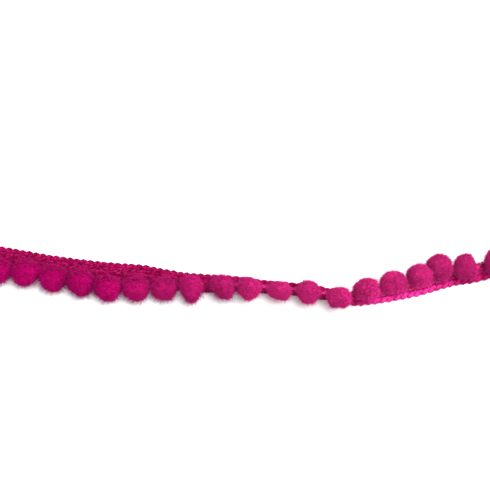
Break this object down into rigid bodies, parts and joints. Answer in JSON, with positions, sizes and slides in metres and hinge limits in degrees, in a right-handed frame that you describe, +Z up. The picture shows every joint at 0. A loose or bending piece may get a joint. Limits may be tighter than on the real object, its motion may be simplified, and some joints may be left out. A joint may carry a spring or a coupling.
{
  "type": "pompom fringe trim",
  "caption": "Narrow crocheted heading tape with a looped edge and small yarn pompoms along its other edge, lying loose with one half turn.",
  "frame": {"origin": "centre of the trim's box in plan, on the surface that the trim lies on", "axes": "+X along the trim from left to right, +Y away from the viewer, +Z up"},
  "size_m": [0.1694, 0.0234, 0.0108],
  "materials": {
    "tape_yarn": "twisted magenta yarn, looped and crocheted, slightly glossy on its loops",
    "pompom_pile": "short dense cut magenta pile, matt"
  },
  "bodies": {
    "root": {"heading_tape": "tape_yarn", "pompom_01": "pompom_pile", "pompom_02": "pompom_pile", "pompom_03": "pompom_pile", "pompom_04": "pompom_pile", "pompom_05": "pompom_pile", "pompom_06": "pompom_pile", "pompom_07": "pompom_pile", "pompom_08": "pompom_pile", "pompom_09": "pompom_pile", "pompom_10": "pompom_pile", "pompom_11": "pompom_pile", "pompom_12": "pompom_pile", "pompom_13": "pompom_pile", "pompom_14": "pompom_pile", "pompom_15": "pompom_pile", "pompom_16": "pompom_pile", "pompom_17": "pompom_pile", "pompom_18": "pompom_pile", "pompom_19": "pompom_pile", "pompom_20": "pompom_pile", "pompom_21": "pompom_pile"}
  },
  "joints": []
}
